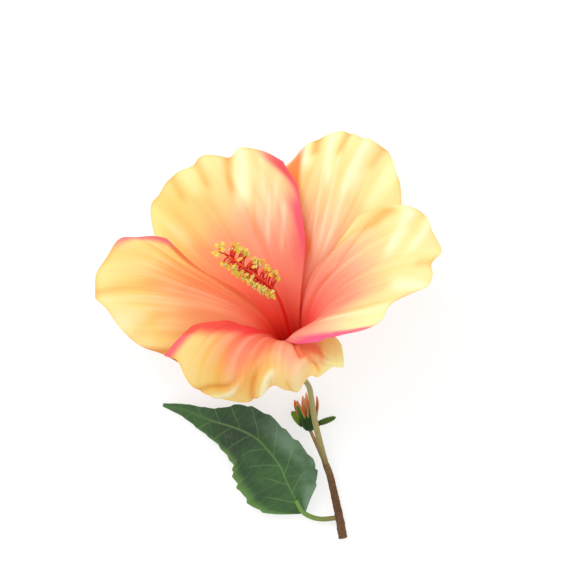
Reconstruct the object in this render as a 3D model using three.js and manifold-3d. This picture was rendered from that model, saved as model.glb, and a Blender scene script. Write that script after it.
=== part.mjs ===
// Hibiscus flower, picked with its stem, one opening bud and one leaf, lying on its back.
// Millimetres, +Z up. The part stands on Z = 0, and its origin is under the middle of its box.

import * as THREE from 'three';
import { mergeVertices } from 'three/addons/utils/BufferGeometryUtils.js';
import Module from 'manifold-3d';

const { degToRad: radians, clamp, lerp, smoothstep } = THREE.MathUtils;

// ---- Driving dimensions ----

const BOX_MIDDLE = new THREE.Vector2(-6.77, -19.4); // middle of the box in the bloom's own layout

const BLOOM_TILT = 44; // degrees that the bloom's axis leans from straight up
const BLOOM_HEADING = 105; // degrees from +X to the side it leans to
const THROAT = new THREE.Vector3(1.9, -20.8, 30.4); // where the petals' claws open
const CLAW_LENGTH = 12; // from the throat down to where the petals join
const CLAW_RADIUS = 4.6;
const CLAW_HALF_WIDTH = 2.7;
const PETAL_THICKNESS = 0.8;
const PETAL_ROWS = 14;
const PETAL_COLUMNS = 22;
const MIDLINE_STEPS = 120;
const LOWEST_MIDDLE = 0.3; // height of a petal's middle surface where it lies on the ground
const LANDING = 0.6; // how softly it comes down to that height
const MARGIN = 0.85; // share of the half width at which a margin's offsets are full
const CURLED = 0.55; // share of the half width from which a margin curls
const OUTER_CUP = 0.2; // what is left of the cup where a petal bends past flat
const RUFFLE_GROWTH = 2.5; // power of the distance from the claw with which ruffles grow
const SIDE_FOLDS = 2.2; // waves along each side margin
const SIDE_FOLD_HEIGHT = 1;
const GROWTH = { // distances from the claw at which each of these begins and is full
  fan: [1, 10],
  edge: [0, 5],
  lift: [6, 28],
  twist: [6, 31],
  turn: [4, 34],
  cup: [8, 30],
  curl: [12, 40],
  sideFolds: [15, 40],
};

const COLUMN_BASE_RADIUS = 0.75;
const COLUMN_TIP_RADIUS = 0.55;
const STAMENS = 56;
const STAMEN_ZONE = [0.59, 0.985]; // shares of the column's length that carry stamens
const STAMEN_TURN = radians(137.5);
const FILAMENT_RADIUS = 0.28;
const FILAMENT_LENGTH = 4.9;
const ANTHER_RADIUS = 1.15;
const STYLE_GAP = 0.35;
const STYLE_RADIUS = 0.5;
const STYLE_BRANCHES = 5;
const STYLE_BRANCH_RADIUS = 0.34;
const STYLE_BRANCH_LENGTH = 3;
const STIGMA_RADIUS = 0.9;

const CALYX_LOBES = 5;
const CALYX_PROFILE = [ // radius and height, up the outside and down the inside
  [0, -7], [1.7, -7], [3.2, -5.6], [5.6, -2.8], [7.9, 0.6], [9, 3.5], [9.6, 6], [10, 8],
  [9.3, 8.1], [8.9, 6], [8.2, 3.5], [7.2, 0.6], [6.6, -0.5], [0, -0.5],
];
const CALYX_LOBE_FOOT = 2; // height at which the cup divides into lobes
const COLLAR_TOP = -7.7; // height on the bloom's axis
const COLLAR_SHARE = 0.79; // of the way down to the stem
const COLLAR_RADIUS = 1.55;
const STEM_RADIUS = 1.15;
const TWIG_RADIUS = 1.7;
const BUD_STEM_RADIUS = 0.65;
const BUD_RADIUS = 3.7;
const BUD_LENGTH = 15.4;
const BUD_PETALS = 3;
const BUD_PETAL_RADIUS = 1.3;
const BUD_CUP_PROFILE = [ // radius and height, up the outside and down the inside
  [0, 0.6], [1.2, 0.6], [2.4, 1.6], [3.2, 4], [3.5, 6.2], [2.8, 6.2], [2.5, 4], [1.9, 2.6], [0, 2.4],
];
const BUD_LOBE = { foot: 4.6, length: 8.5, halfWidth: 2.1 };
const BUD_BLADE_THICKNESS = 0.7;

const LEAF_THICKNESS = 0.8;
const LEAF_TEETH = 13; // on each side
const TOOTH_DEPTH = 0.035; // share of the half width
const LEAF_SLOPE = { left: -0.12, right: 0.42 }; // of the blade's two halves, out from the midrib
const LEAF_WAVES = 2.4;
const LEAF_WAVE_HEIGHT = 0.9;
const LEAF_LOWEST = 0.5;
const PETIOLE_RADIUS = 1.0;

// Each petal, counted round the bloom from its uphill side. Lists run evenly, sides are over first:
// claw and azimuth are the directions from the bloom's axis in which it starts and then spreads;
// bend is the angle of the midline from the bloom's axis, from claw to tip;
// over and under are the half widths of its two sides, from a fifth of its length to the tip;
// rim is the petal's length, as a share, across its width from the over side to the under side;
// edge and lift raise its two margins inwards, edge near the claw and lift further out;
// twist tips it sideways in degrees, curl rolls its two margins inwards, cup is how round it is,
// and ruffle is how far the rim waves inwards, at the same places as rim.
const PETALS = [
  {
    name: 'petal_top_left', claw: 14, azimuth: 15, length: 97, bend: [3, 26, 58, 75, 86, 102],
    over: [8.5, 18, 26, 29, 29], under: [9, 19, 28, 32, 31],
    rim: [0.68, 0.82, 0.875, 0.9, 0.95, 0.98, 0.975, 0.98, 0.985, 0.965, 0.91, 0.75, 0.6],
    ruffle: [0.6, -1.2, 0.8, -1.2, 0, 1.3, 0, 1.2, 0.8, -0.2, 1.5, -0.5, -1.5],
    edge: [1.4, -1], lift: [2, -2], twist: 6, curl: [4, 0], cup: 1,
  },
  {
    name: 'petal_left', claw: 86, azimuth: 74, length: 88, bend: [3, 25, 55, 72, 86, 100],
    over: [3.5, 5.5, 13, 26.5, 33], under: [8, 17, 24, 24, 20],
    rim: [0.7, 0.81, 0.875, 0.93, 0.985, 0.995, 0.985, 0.94, 0.895, 0.8, 0.66, 0.49, 0.32],
    ruffle: [1, -2.2, 2.2, 0.8, -1, -0.9, 0.5, 0.6, -2, -1.6, 3, 0.2, -2],
    edge: [0.9, -1.6], lift: [2, -12], twist: 17, curl: [0, 0], cup: 0.5,
  },
  {
    name: 'petal_bottom', claw: 158, azimuth: 156, length: 60, bend: [3, 13, 40, 130, 188, 200],
    over: [4.8, 15.5, 40, 48, 42], under: [7, 25, 29, 25, 20],
    rim: [0.6, 0.615, 0.695, 0.815, 0.955, 0.87, 0.775, 0.82, 0.88, 0.735, 0.745, 0.58, 0.4],
    ruffle: [-4, 0, 1.9, 0, -0.7, 1.4, -0.3, 0.4, 0, 0.6, 2, 0, 2],
    edge: [1.6, -3], lift: [4.5, -1.5], twist: 6, curl: [0, -8], cup: 0.05,
  },
  {
    name: 'petal_right', claw: 230, azimuth: 267, length: 80, bend: [3, 23, 51, 72, 98, 128],
    over: [7.5, 25, 35, 37, 35], under: [6, 12, 22, 34, 37],
    rim: [0.57, 0.665, 0.72, 0.8, 0.89, 0.93, 0.935, 0.99, 0.985, 0.965, 0.92, 0.8, 0.665],
    ruffle: [0.3, -1.5, 1.6, 0.6, -1.5, -0.5, 1.5, 1.5, 0.5, -0.2, 1.6, 0, -1.2],
    edge: [1.6, 1.3], lift: [5.2, 3], twist: 0, curl: [0, 0], cup: 0.5,
  },
  {
    name: 'petal_top_right', claw: 302, azimuth: 324, length: 104, bend: [3, 26, 60, 77, 90, 108],
    over: [9, 17, 25, 28, 27], under: [9, 18, 26, 30, 28],
    rim: [0.7, 0.79, 0.855, 0.93, 0.975, 0.94, 0.96, 0.965, 0.965, 0.935, 0.89, 0.79, 0.635],
    ruffle: [-2, 1.8, 0.6, -1.5, -2, 1.4, -0.8, 0, 1, 1.5, 0.8, -2.2, 0],
    edge: [-1.3, -1.6], lift: [-5, -3], twist: 0, curl: [0, 0], cup: 1,
  },
];

const COLUMN_ROUTE = [
  [4.1, -28.95, 21.65], [3.6, -26.9, 23.9], [1.9, -20.8, 31], [0.6, -13.5, 38], [-1.7, -6.5, 45],
  [-4.1, -1.9, 49.5], [-8.5, 1.9, 53], [-14.8, 6.3, 57.5], [-21, 10.7, 62],
];
const STEM_ROUTE = [
  [6.3, -35.4, 15.0], [6.9, -36.3, 14], [8.1, -37.3, 13.3], [9.2, -39.1, 12.9], [10, -42.6, 12.3],
  [11.1, -49.9, 11.6], [12.3, -55.7, 10.6], [13.7, -61.6, 8.8], [15.4, -68.3, 6.2],
];
const TWIG_ROUTE = [
  [15.7, -69, 5.9], [17.4, -73.7, 4.8], [19.3, -81.9, 3.4], [20.9, -89.3, 2.4], [22.4, -97.9, 1.6],
];
const BUD_STEM_ROUTE = [[10, -56.7, 4.6], [11.6, -60.2, 4.2], [13.5, -64.4, 3.7], [16.8, -72.2, 4.4]];
const LEAF_MIDRIB = [
  [7, -87.7, 4.2], [4.2, -82.9, 5.5], [0.4, -75.1, 7.5], [-1.5, -70.4, 8.5], [-5, -65.4, 9],
  [-11.2, -58.9, 9], [-18.1, -55.4, 8], [-28.5, -52.1, 6], [-38.6, -48.3, 3.5], [-47.2, -46.4, 1.5],
];
const LEAF_LEFT = [1.4, 13.5, 17.6, 18.4, 16.8, 14, 10.6, 6.8, 4.4, 2.4, 0.6]; // half widths, base to tip
const LEAF_RIGHT = [1.4, 9.5, 12.6, 11.4, 10.2, 10.6, 11.2, 5.6, 3.4, 2, 0.6];
const PETIOLE_ROUTE = [
  [4.2, -82.9, 5.4], [7, -87.7, 4.2], [10.4, -89.7, 3.4], [14.3, -90.5, 2.9], [18.9, -90.1, 2.6],
];
const BUD_BASE = new THREE.Vector3(10, -56.8, 4.6);
const BUD_TIP = new THREE.Vector3(7.3, -41.7, 5.2);
const BUD_BRACTS = [ // foot, tip and half width of each small leaf below the bud
  [[7.1, -54.4, 3.5], [2.6, -48.8, 3.6], 1.4],
  [[12.1, -53.8, 3.9], [19.6, -51, 5], 0.95],
];

const up = new THREE.Vector3(0, 0, 1);
const smooth = (x) => smoothstep(x, 0, 1);

// ---- Small tools ----

// Value at x, from 0 to 1, on a smooth curve through evenly spaced values.
function through(values, x) {
  const last = values.length - 1;
  const place = clamp(x, 0, 1) * last;
  const i = Math.min(Math.floor(place), last - 1);
  const f = place - i;
  const b = values[i];
  const c = values[i + 1];
  const a = i > 0 ? values[i - 1] : 2 * b - c;
  const d = i + 2 <= last ? values[i + 2] : 2 * c - b;
  return b + 0.5 * f * (c - a + f * (2 * a - 5 * b + 4 * c - d + f * (3 * (b - c) + d - a)));
}

// A repeatable run of numbers between 0 and 1.
function seeded(seed) {
  let state = seed;
  return () => {
    state = (state * 16807) % 2147483647;
    return state / 2147483647;
  };
}

function curveThrough(points) {
  return new THREE.CatmullRomCurve3(points.map((p) => new THREE.Vector3(...p)), false, 'centripetal');
}

function geometryOf(points, triangles) {
  const geometry = new THREE.BufferGeometry();
  const numbers = points.flatMap((p) => [p.x, p.y, p.z]);
  geometry.setAttribute('position', new THREE.Float32BufferAttribute(numbers, 3));
  geometry.setIndex(triangles);
  return geometry;
}

// Closed thin solid on surface(u, v), u from 0 to 1 and v from -1 to 1.
// Both faces are split into triangles alike. The front looks along u cross v.
function blade(surface, rows, columns, thickness) {
  const front = [];
  const back = [];
  const step = 1e-3;
  for (let i = 0; i <= rows; i++) {
    for (let j = 0; j <= columns; j++) {
      const u = i / rows;
      const v = (2 * j) / columns - 1;
      const along = surface(Math.min(u + step, 1), v).sub(surface(Math.max(u - step, 0), v));
      const across = surface(u, Math.min(v + step, 1)).sub(surface(u, Math.max(v - step, -1)));
      const normal = along.cross(across).normalize();
      const middle = surface(u, v);
      front.push(middle.clone().addScaledVector(normal, thickness / 2));
      back.push(middle.clone().addScaledVector(normal, -thickness / 2));
    }
  }
  const points = [...front, ...back];
  points.forEach((p) => p.setZ(Math.max(p.z, 0)));
  const at = (i, j) => i * (columns + 1) + j;
  const behind = front.length;
  const triangles = [];
  const quad = (a, b, c, d) => triangles.push(a, b, c, a, c, d);
  for (let i = 0; i < rows; i++) {
    for (let j = 0; j < columns; j++) {
      const [a, b, c, d] = [at(i, j), at(i + 1, j), at(i + 1, j + 1), at(i, j + 1)];
      quad(a, b, c, d);
      triangles.push(behind + a, behind + c, behind + b, behind + a, behind + d, behind + c);
    }
  }
  const rim = [];
  for (let i = 0; i < rows; i++) rim.push(at(i, 0));
  for (let j = 0; j < columns; j++) rim.push(at(rows, j));
  for (let i = rows; i > 0; i--) rim.push(at(i, columns));
  for (let j = columns; j > 0; j--) rim.push(at(0, j));
  rim.forEach((a, k) => {
    const b = rim[(k + 1) % rim.length];
    quad(a, behind + a, behind + b, b);
  });
  return geometryOf(points, triangles);
}

// Closed round solid along a curve. radius(t) runs from t = 0 to 1.
function sweep(curve, radius, steps, sides) {
  const frames = curve.computeFrenetFrames(steps);
  const points = [];
  for (let i = 0; i <= steps; i++) {
    const centre = curve.getPointAt(i / steps);
    for (let j = 0; j < sides; j++) {
      const angle = (2 * Math.PI * j) / sides;
      const r = radius(i / steps);
      const p = centre.clone();
      p.addScaledVector(frames.normals[i], r * Math.cos(angle));
      p.addScaledVector(frames.binormals[i], r * Math.sin(angle));
      p.z = Math.max(p.z, 0);
      points.push(p);
    }
  }
  const start = points.push(curve.getPointAt(0)) - 1;
  const end = points.push(curve.getPointAt(1)) - 1;
  const triangles = [];
  for (let j = 0; j < sides; j++) {
    const k = (j + 1) % sides;
    triangles.push(start, k, j);
    triangles.push(end, steps * sides + j, steps * sides + k);
    for (let i = 0; i < steps; i++) {
      const [a, b, c, d] = [i * sides + j, i * sides + k, (i + 1) * sides + k, (i + 1) * sides + j];
      triangles.push(a, b, c, a, c, d);
    }
  }
  return geometryOf(points, triangles);
}

// Joins closed geometries that overlap into one.
const wasm = await Module();
wasm.setup();

function solidOf(geometry) {
  const bare = geometry.clone();
  bare.deleteAttribute('normal');
  bare.deleteAttribute('uv');
  const merged = mergeVertices(bare, 1e-4);
  const mesh = new wasm.Mesh({
    numProp: 3,
    vertProperties: merged.attributes.position.array,
    triVerts: new Uint32Array(merged.index.array),
  });
  return new wasm.Manifold(mesh);
}

function joined(geometries) {
  const solid = geometries.map(solidOf).reduce((sum, next) => sum.add(next));
  const mesh = solid.getMesh();
  const geometry = new THREE.BufferGeometry();
  geometry.setAttribute('position', new THREE.BufferAttribute(mesh.vertProperties, 3));
  geometry.setIndex(new THREE.BufferAttribute(mesh.triVerts, 1));
  return geometry;
}

function piece(name, geometry, color, roughness) {
  geometry.computeVertexNormals();
  const material = new THREE.MeshStandardMaterial({ color, roughness, metalness: 0, flatShading: true });
  const mesh = new THREE.Mesh(geometry, material);
  mesh.name = name;
  return mesh;
}

// ---- The bloom's own axes: uphill, sideways and along its axis ----

const tilt = radians(BLOOM_TILT);
const heading = radians(BLOOM_HEADING);
const bloomUphill = new THREE.Vector3(
  Math.cos(tilt) * Math.cos(heading), Math.cos(tilt) * Math.sin(heading), -Math.sin(tilt));
const bloomSide = new THREE.Vector3(-Math.sin(heading), Math.cos(heading), 0);
const bloomAxis = new THREE.Vector3(
  Math.sin(tilt) * Math.cos(heading), Math.sin(tilt) * Math.sin(heading), Math.cos(tilt));
const bloomBase = THROAT.clone().addScaledVector(bloomAxis, -CLAW_LENGTH);

// ---- Petals ----

// Distance from the bloom's axis and height along it, down the middle of a petal.
function midlineOf(petal) {
  const steps = MIDLINE_STEPS;
  const step = petal.length / steps;
  const points = [{ out: CLAW_RADIUS, high: 0 }];
  for (let i = 0; i < steps; i++) {
    const bend = radians(through(petal.bend, (i + 0.5) / steps));
    const { out, high } = points[i];
    points.push({ out: out + Math.sin(bend) * step, high: high + Math.cos(bend) * step });
  }
  return (share) => {
    const place = clamp(share, 0, 1) * steps;
    const i = Math.min(Math.floor(place), steps - 1);
    const f = place - i;
    return {
      out: lerp(points[i].out, points[i + 1].out, f),
      high: lerp(points[i].high, points[i + 1].high, f),
    };
  };
}

const grown = (what, s) => smoothstep(s, ...GROWTH[what]);

// Offset of a petal's surface to its inner side, at u, v and distance s from the claw.
function petalRelief(petal, u, v, s, across) {
  const side = v < 0 ? 0 : 1;
  const margin = smoothstep(Math.abs(v), 0, MARGIN);
  const edge = petal.edge[side] * margin * grown('edge', s);
  const lift = petal.lift[side] * margin * grown('lift', s);
  const twist = -across * Math.tan(radians(petal.twist)) * grown('twist', s);
  const curl = petal.curl[side] * clamp((Math.abs(v) - CURLED) / (1 - CURLED), 0, 1) ** 2 * grown('curl', s);
  const ruffle = through(petal.ruffle, (v + 1) / 2) * u ** RUFFLE_GROWTH;
  const sideWave = Math.sin(2 * Math.PI * SIDE_FOLDS * u) * grown('sideFolds', s);
  const sideFolds = SIDE_FOLD_HEIGHT * Math.abs(v) ** 5 * sideWave;
  return edge + lift + twist + curl + ruffle + sideFolds;
}

function petalSurface(petal) {
  const midline = midlineOf(petal);
  return (u, v) => {
    const s = u * petal.length * through(petal.rim, (v + 1) / 2);
    const share = s / petal.length;
    const fan = through([CLAW_HALF_WIDTH, ...(v < 0 ? petal.over : petal.under)], share);
    const across = v * lerp(CLAW_HALF_WIDTH, fan, grown('fan', s));
    const { out, high } = midline(share);
    const bend = radians(through(petal.bend, share));
    const azimuth = radians(lerp(petal.claw, petal.azimuth, grown('turn', s)));
    const outward = bloomUphill.clone().multiplyScalar(Math.cos(azimuth));
    outward.addScaledVector(bloomSide, Math.sin(azimuth));
    const sideways = bloomUphill.clone().multiplyScalar(-Math.sin(azimuth));
    sideways.addScaledVector(bloomSide, Math.cos(azimuth));
    const inward = bloomAxis.clone().multiplyScalar(Math.sin(bend)).addScaledVector(outward, -Math.cos(bend));
    const cup = Math.cos(bend) > 0 ? lerp(1, petal.cup, grown('cup', s)) : OUTER_CUP;
    const roundness = (Math.cos(bend) * cup) / out;
    const turn = roundness * across;
    const flat = Math.abs(turn) < 1e-4;
    const sidestep = flat ? across : Math.sin(turn) / roundness;
    const rise = flat ? (turn * across) / 2 : (1 - Math.cos(turn)) / roundness;
    const point = bloomBase.clone();
    point.addScaledVector(outward, out);
    point.addScaledVector(bloomAxis, high);
    point.addScaledVector(sideways, sidestep);
    point.addScaledVector(inward, rise + petalRelief(petal, u, v, s, across));
    const above = point.z - LOWEST_MIDDLE;
    point.z = LOWEST_MIDDLE + (above + Math.sqrt(above * above + LANDING * LANDING)) / 2;
    return point;
  };
}

function petalPieces() {
  return PETALS.map((petal) => {
    const geometry = blade(petalSurface(petal), PETAL_ROWS, PETAL_COLUMNS, PETAL_THICKNESS);
    return piece(petal.name, geometry, 0xf6b878, 0.6);
  });
}

// ---- Stamens and style ----

const columnCurve = curveThrough(COLUMN_ROUTE);

function anther(centre, random) {
  const ball = new THREE.OctahedronGeometry(ANTHER_RADIUS, 0);
  ball.rotateX(6 * random());
  ball.rotateY(6 * random());
  ball.scale(1.15, 1, 0.95);
  ball.translate(centre.x, centre.y, centre.z);
  return ball;
}

function staminalColumn() {
  const random = seeded(31);
  const taper = (t) => lerp(COLUMN_BASE_RADIUS, COLUMN_TIP_RADIUS, t);
  const solids = [sweep(columnCurve, taper, 20, 8)];
  for (let k = 0; k < STAMENS; k++) {
    const place = lerp(...STAMEN_ZONE, (k + 0.5) / STAMENS);
    const root = columnCurve.getPointAt(place);
    const along = columnCurve.getTangentAt(place);
    const side = new THREE.Vector3().crossVectors(along, up).normalize();
    side.applyAxisAngle(along, k * STAMEN_TURN + 0.5 * random());
    const direction = side.addScaledVector(along, 0.25 * random()).normalize();
    const length = FILAMENT_LENGTH * (0.85 + 0.3 * random());
    const tip = root.clone().addScaledVector(direction, length);
    const filament = sweep(new THREE.LineCurve3(root, tip), () => FILAMENT_RADIUS, 1, 3);
    solids.push(filament, anther(tip, random));
  }
  return piece('staminal_column', joined(solids), 0xf2b43c, 0.7);
}

function style() {
  const along = columnCurve.getTangentAt(1);
  const foot = columnCurve.getPointAt(1).addScaledVector(along, STYLE_GAP);
  const fork = foot.clone().addScaledVector(along, 2.2);
  const end = fork.clone().addScaledVector(along, 0.3);
  const solids = [sweep(new THREE.LineCurve3(foot, end), () => STYLE_RADIUS, 1, 6)];
  const side = new THREE.Vector3().crossVectors(along, up).normalize();
  for (let k = 0; k < STYLE_BRANCHES; k++) {
    const direction = side.clone().applyAxisAngle(along, (2 * Math.PI * k) / STYLE_BRANCHES);
    direction.addScaledVector(along, 0.9).normalize();
    const tip = fork.clone().addScaledVector(direction, STYLE_BRANCH_LENGTH);
    const stigma = new THREE.IcosahedronGeometry(STIGMA_RADIUS, 0);
    stigma.translate(tip.x, tip.y, tip.z);
    solids.push(sweep(new THREE.LineCurve3(fork, tip), () => STYLE_BRANCH_RADIUS, 1, 5), stigma);
  }
  return piece('style', joined(solids), 0xf4c850, 0.6);
}

// ---- Calyx, collar and stems ----

// Round solid turned about Z from a profile of radius and height.
function turned(profile, sides) {
  const solid = new THREE.LatheGeometry(profile.map(([r, z]) => new THREE.Vector2(r, z)), sides);
  solid.rotateX(Math.PI / 2);
  return solid;
}

const axisTurn = new THREE.Quaternion().setFromUnitVectors(up, bloomAxis);

// The cup's wall is drawn down between its lobes, which leaves them pointed.
function calyx() {
  const cup = turned(CALYX_PROFILE, 8 * CALYX_LOBES);
  const position = cup.attributes.position;
  for (let i = 0; i < position.count; i++) {
    const above = position.getZ(i) - CALYX_LOBE_FOOT;
    if (above > 0) {
      const angle = Math.atan2(position.getY(i), position.getX(i));
      const point = Math.abs(Math.cos((CALYX_LOBES * angle) / 2)) ** 1.3;
      position.setZ(i, CALYX_LOBE_FOOT + above * lerp(0.12, 1, point));
    }
  }
  const mesh = piece('calyx', cup, 0x5f8a3c, 0.6);
  mesh.position.copy(bloomBase);
  mesh.quaternion.copy(axisTurn);
  return mesh;
}

function collar() {
  const foot = new THREE.Vector3(...STEM_ROUTE[0]);
  const top = bloomBase.clone().addScaledVector(bloomAxis, COLLAR_TOP);
  const route = new THREE.LineCurve3(top, top.clone().lerp(foot, COLLAR_SHARE));
  const ring = sweep(route, (t) => COLLAR_RADIUS * (1 - 0.1 * Math.cos(2 * Math.PI * t)), 4, 12);
  return piece('calyx_collar', ring, 0xb8402f, 0.6);
}

function stem() {
  const taper = (t) => STEM_RADIUS * (0.92 + 0.18 * t);
  return piece('stem', sweep(curveThrough(STEM_ROUTE), taper, 22, 10), 0x9a9a6a, 0.6);
}

function twig() {
  const taper = (t) => TWIG_RADIUS * (0.8 + 0.25 * t);
  const branch = sweep(curveThrough(BUD_STEM_ROUTE), (t) => BUD_STEM_RADIUS * (1 + 0.4 * t), 8, 8);
  const wood = sweep(curveThrough(TWIG_ROUTE), taper, 14, 12);
  return piece('twig', joined([wood, branch]), 0x7b5238, 0.8);
}

// ---- Bud ----

const budAxis = BUD_TIP.clone().sub(BUD_BASE).normalize();
const budTurn = new THREE.Quaternion().setFromUnitVectors(up, budAxis);

// Pointed lobe that stands up from the cup's ring and leans out to radius tip.
function budLobe(angle, tip) {
  const ring = BUD_RADIUS - 0.7;
  const surface = (u, v) => {
    const out = lerp(ring, tip, smooth(0.9 * u)) + 0.7 * Math.sin(Math.PI * u);
    const half = BUD_LOBE.halfWidth * (0.65 + 0.9 * u - 1.35 * u * u);
    const turn = angle + (v * half) / out;
    return new THREE.Vector3(out * Math.cos(turn), out * Math.sin(turn), BUD_LOBE.foot + BUD_LOBE.length * u);
  };
  return blade(surface, 6, 4, BUD_BLADE_THICKNESS);
}

function standOnBud(geometry) {
  geometry.applyQuaternion(budTurn);
  geometry.translate(BUD_BASE.x, BUD_BASE.y, BUD_BASE.z);
  return geometry;
}

// Small pointed leaf below the bud's cup, from its foot to its tip.
function bract(foot, tip, halfWidth) {
  const line = new THREE.LineCurve3(new THREE.Vector3(...foot), new THREE.Vector3(...tip));
  const side = new THREE.Vector3().crossVectors(line.getTangentAt(0), up).normalize();
  const surface = (u, v) => {
    const half = halfWidth * (0.35 + 0.65 * Math.sin(Math.PI * (0.12 + 0.84 * u)));
    const point = line.getPointAt(u).addScaledVector(side, v * half);
    point.z += 0.5 * v * v + 0.6 * Math.sin(Math.PI * u);
    return point;
  };
  return blade(surface, 6, 4, BUD_BLADE_THICKNESS);
}

function budCalyx() {
  const solids = [standOnBud(turned(BUD_CUP_PROFILE, 4 * CALYX_LOBES))];
  for (let k = 0; k < CALYX_LOBES; k++) {
    const angle = (2 * Math.PI * k) / CALYX_LOBES + 0.3;
    const tip = BUD_RADIUS + 1.1 * Math.abs(Math.cos(angle));
    solids.push(standOnBud(budLobe(angle, tip)));
  }
  solids.push(...BUD_BRACTS.map(([foot, tip, half]) => bract(foot, tip, half)));
  return piece('bud_calyx', joined(solids), 0x6c9638, 0.6);
}

function budPetals() {
  const solids = [];
  const taper = (t) => BUD_PETAL_RADIUS * lerp(0.1, 1, Math.sin(Math.PI * (0.2 + 0.78 * t)));
  for (let k = 0; k < BUD_PETALS; k++) {
    const angle = (2 * Math.PI * k) / BUD_PETALS;
    const foot = new THREE.Vector3(0.7 * Math.cos(angle), 0.7 * Math.sin(angle), 3);
    const tip = new THREE.Vector3(0.9 * Math.cos(angle + 0.5), 0.9 * Math.sin(angle + 0.5), BUD_LENGTH - k);
    const middle = foot.clone().lerp(tip, 0.5).multiply(new THREE.Vector3(1.3, 1.3, 1));
    solids.push(sweep(new THREE.QuadraticBezierCurve3(foot, middle, tip), taper, 6, 7));
  }
  return piece('bud_petals', standOnBud(joined(solids)), 0xd97a45, 0.6);
}

// ---- Leaf ----

const midrib = curveThrough(LEAF_MIDRIB);

function leafSurface(u, v) {
  const half = through(v < 0 ? LEAF_LEFT : LEAF_RIGHT, u);
  const teeth = 1 + TOOTH_DEPTH * Math.cos(2 * Math.PI * LEAF_TEETH * u) * smooth(u * 8);
  const along = midrib.getTangentAt(u);
  const side = new THREE.Vector3().crossVectors(along, up).normalize();
  const out = Math.abs(v) * half * teeth;
  const point = midrib.getPointAt(u).addScaledVector(side, Math.sign(v) * out);
  const slope = v < 0 ? LEAF_SLOPE.left : LEAF_SLOPE.right;
  const wave = Math.sin(2 * Math.PI * LEAF_WAVES * u + (v < 0 ? 0 : 2)) * smooth(half / 6);
  point.z = Math.max(point.z + slope * out + LEAF_WAVE_HEIGHT * v * v * wave, LEAF_LOWEST);
  return point;
}

function leaf() {
  const bladeGeometry = blade(leafSurface, 2 * LEAF_TEETH, 10, LEAF_THICKNESS);
  const petiole = sweep(curveThrough(PETIOLE_ROUTE), () => PETIOLE_RADIUS, 10, 8);
  return piece('leaf', joined([bladeGeometry, petiole]), 0x35592a, 0.55);
}

// ---- The flower ----

const flower = new THREE.Group();
flower.position.set(-BOX_MIDDLE.x, -BOX_MIDDLE.y, 0);
flower.add(...petalPieces(), staminalColumn(), style(), calyx(), collar(), stem(), twig());
flower.add(budCalyx(), budPetals(), leaf());

const part = new THREE.Group();
part.add(flower);

export default part;
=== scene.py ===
"""Looks of a picked hibiscus flower that lies on its back, seen from straight above.

Shapes are worked out in millimetres in the bloom's own layout, and placed in the frame at the end.
"""

import math

import bmesh
import bpy
import numpy as np
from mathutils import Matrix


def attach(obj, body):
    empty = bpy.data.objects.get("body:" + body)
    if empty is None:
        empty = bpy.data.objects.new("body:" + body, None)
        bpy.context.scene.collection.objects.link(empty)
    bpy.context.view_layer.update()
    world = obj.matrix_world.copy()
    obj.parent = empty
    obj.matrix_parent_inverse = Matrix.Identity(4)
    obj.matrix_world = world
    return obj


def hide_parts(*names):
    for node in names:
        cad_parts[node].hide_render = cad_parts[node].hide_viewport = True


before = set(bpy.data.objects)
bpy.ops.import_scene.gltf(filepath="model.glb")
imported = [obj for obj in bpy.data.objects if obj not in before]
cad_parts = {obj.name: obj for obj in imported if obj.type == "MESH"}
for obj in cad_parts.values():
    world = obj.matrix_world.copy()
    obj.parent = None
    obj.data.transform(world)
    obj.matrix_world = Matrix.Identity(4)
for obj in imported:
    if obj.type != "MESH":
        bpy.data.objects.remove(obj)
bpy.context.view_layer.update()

MM = 0.001
BOX_MIDDLE = np.array([-6.77, -19.4, 0.0])  # middle of the part's box in the bloom's layout
UP = np.array([0.0, 0.0, 1.0])

# ---- Driving dimensions: the part's, but stamens, style, bud petals, stalks, thicknesses and
# the leaf's upper lobe are finer here ----

BLOOM_TILT = math.radians(44)  # the bloom's axis leans this far from straight up
BLOOM_HEADING = math.radians(105)  # direction that it leans to
THROAT = np.array([1.9, -20.8, 30.4])
CLAW_LENGTH = 12
CLAW_RADIUS = 4.6
CLAW_HALF_WIDTH = 2.7
LOWEST_MIDDLE, LANDING = 0.3, 0.6  # height that a petal's middle levels out at, and how softly
MARGIN = 0.85  # share of the half width where edge and lift are full
CURLED = 0.55  # share of the half width where the curl starts
OUTER_CUP = 0.2  # share of its roundness that a petal keeps where it bends outwards
RUFFLE_GROWTH = 2.5  # power at which the ruffle grows towards the rim
SIDE_FOLDS, SIDE_FOLD_HEIGHT = 2.2, 1.0
# Distances along a petal, in millimetres, between which each effect grows to its full size.
GROWTH = {
    "fan": (1, 10), "edge": (0, 5), "lift": (6, 28), "twist": (6, 31), "turn": (4, 34),
    "cup": (8, 30), "curl": (12, 40), "side_folds": (15, 40),
}

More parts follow.
